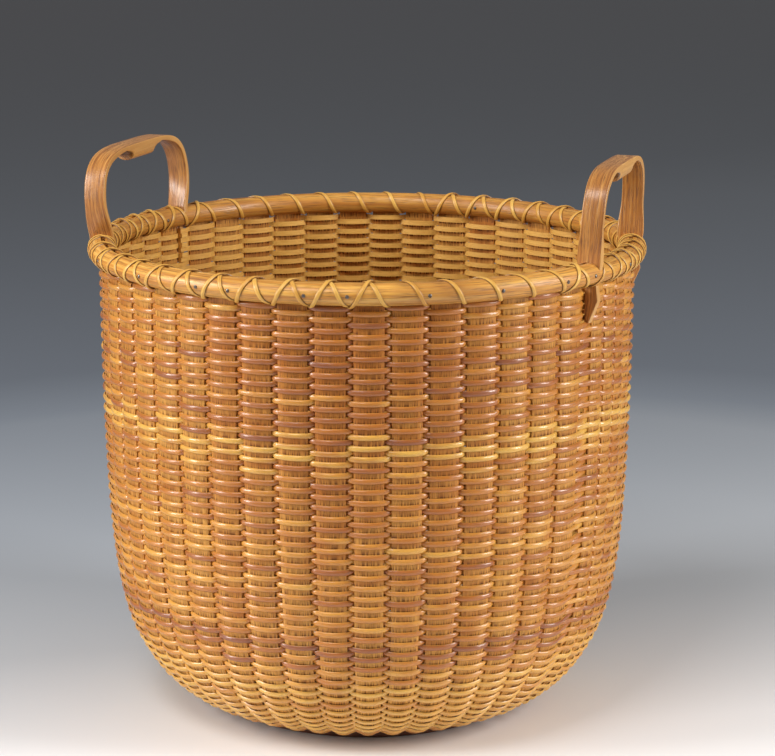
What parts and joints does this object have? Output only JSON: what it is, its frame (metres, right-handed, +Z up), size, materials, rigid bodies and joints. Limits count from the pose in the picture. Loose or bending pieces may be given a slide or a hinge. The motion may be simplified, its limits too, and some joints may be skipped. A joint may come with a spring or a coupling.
{
  "type": "woven basket",
  "caption": "Round woven cane basket with a turned wooden base, flat staves, lashed half-round rim hoops and two fixed bent-wood loop handles.",
  "frame": {"origin": "centre of the flat underside of the base, on the surface that the basket stands on", "axes": "+Z up along the basket's axis; the two handles stand at +X and -X"},
  "size_m": [0.338, 0.3376, 0.3374],
  "materials": {
    "base_wood": "satin, stained dark",
    "stave_wood": "satin",
    "cane": "semi-gloss varnish",
    "rim_wood": "satin varnish",
    "handle_wood": "satin varnish",
    "lashing_cane": "satin"
  },
  "bodies": {
    "root": {"base_plate": "base_wood", "cane_weave": "cane", "rim_hoop_outer": "rim_wood", "rim_hoop_inner": "rim_wood", "rim_lashing": "lashing_cane", "cross_lashing_right": "lashing_cane", "cross_lashing_left": "lashing_cane", "handle_right": "handle_wood", "handle_left": "handle_wood", "stave_01": "stave_wood", "stave_02": "stave_wood", "stave_03": "stave_wood", "stave_04": "stave_wood", "stave_05": "stave_wood", "stave_06": "stave_wood", "stave_07": "stave_wood", "stave_08": "stave_wood", "stave_09": "stave_wood", "stave_10": "stave_wood", "stave_11": "stave_wood", "stave_12": "stave_wood", "stave_13": "stave_wood", "stave_14": "stave_wood", "stave_15": "stave_wood", "stave_16": "stave_wood", "stave_17": "stave_wood", "stave_18": "stave_wood", "stave_19": "stave_wood", "stave_20": "stave_wood", "stave_21": "stave_wood", "stave_22": "stave_wood", "stave_23": "stave_wood", "stave_24": "stave_wood", "stave_25": "stave_wood", "stave_26": "stave_wood", "stave_27": "stave_wood", "stave_28": "stave_wood", "stave_29": "stave_wood", "stave_30": "stave_wood", "stave_31": "stave_wood", "stave_32": "stave_wood", "stave_33": "stave_wood", "stave_34": "stave_wood", "stave_35": "stave_wood", "stave_36": "stave_wood", "stave_37": "stave_wood", "stave_38": "stave_wood", "stave_39": "stave_wood", "stave_40": "stave_wood", "stave_41": "stave_wood", "stave_42": "stave_wood", "stave_43": "stave_wood", "stave_44": "stave_wood", "stave_45": "stave_wood", "stave_46": "stave_wood", "stave_47": "stave_wood"}
  },
  "joints": []
}
